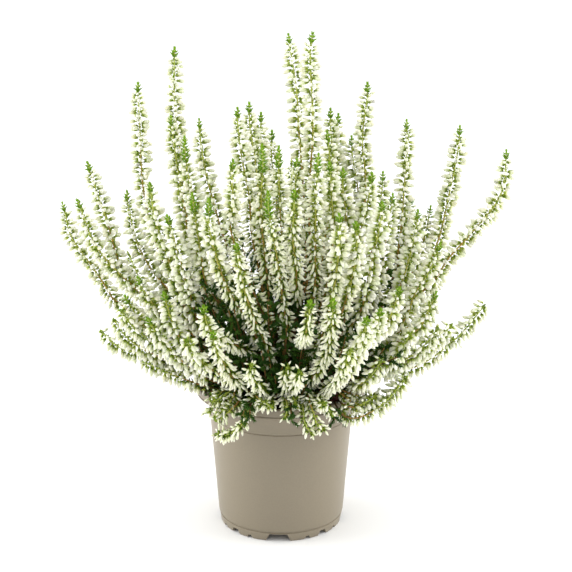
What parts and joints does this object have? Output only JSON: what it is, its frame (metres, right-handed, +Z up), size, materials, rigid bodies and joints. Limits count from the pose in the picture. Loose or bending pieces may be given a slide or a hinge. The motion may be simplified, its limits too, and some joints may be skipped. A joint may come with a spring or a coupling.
{
  "type": "potted heather",
  "caption": "Bushy bud heather with upright white flowering spikes, standing in dark bark soil in a round taupe plastic nursery pot.",
  "frame": {"origin": "middle of the ground under the pot and its plant, at the underside of the pot's foot", "axes": "+Z up, the plant's tallest way; -Y towards the side that the picture shows, +X to that picture's right"},
  "size_m": [0.3062, 0.2456, 0.3479],
  "materials": {
    "pot": "satin taupe injection-moulded plastic",
    "soil": "dark damp bark potting mix",
    "flowers": "living stems under white flower buds, matte",
    "leaves": "living leafy shoots, matte dark green"
  },
  "bodies": {
    "root": {"pot": "pot", "soil": "soil", "spray_left_low": "flowers", "spray_left_mid": "flowers", "spray_left_inner": "flowers", "spray_left_front": "flowers", "spray_left_top": "flowers", "spray_left_tall": "flowers", "spray_left_crown": "flowers", "spray_front_left_long": "flowers", "spray_low_left_long": "flowers", "spray_low_left_inner": "flowers", "spray_low_left_front": "flowers", "spray_rim_left": "flowers", "spray_droop_left": "flowers", "spray_front_left_low": "flowers", "spray_front_mid_low": "flowers", "spray_front_left_inner": "flowers", "spray_crown_left": "flowers", "spray_crown_inner_left": "flowers", "spray_crown_green": "flowers", "spray_front_mid_long": "flowers", "spray_top_left": "flowers", "spray_top_right": "flowers", "spray_front_right_long": "flowers", "spray_crown_right": "flowers", "spray_crown_right_back": "flowers", "spray_front_right_inner": "flowers", "spray_front_right_mid": "flowers", "spray_front_right_low": "flowers", "spray_front_low_right": "flowers", "spray_front_centre_low": "flowers", "spray_droop_right": "flowers", "spray_right_back_tall": "flowers", "spray_right_front_inner": "flowers", "spray_right_front_mid": "flowers", "spray_right_tall": "flowers", "spray_right_mid": "flowers", "spray_right_front": "flowers", "spray_right_outer": "flowers", "spray_right_far": "flowers", "spray_right_low_far": "flowers", "spray_right_low": "flowers", "spray_rim_right_long": "flowers", "spray_back_01": "flowers", "spray_back_02": "flowers", "spray_back_03": "flowers", "spray_back_04": "flowers", "spray_back_05": "flowers", "spray_back_06": "flowers", "spray_back_07": "flowers", "spray_back_08": "flowers", "spray_back_09": "flowers", "spray_back_10": "flowers", "spray_back_11": "flowers", "spray_back_12": "flowers", "leafy_left": "leaves", "leafy_front": "leaves", "leafy_front_right": "leaves", "leafy_right": "leaves"}
  },
  "joints": []
}
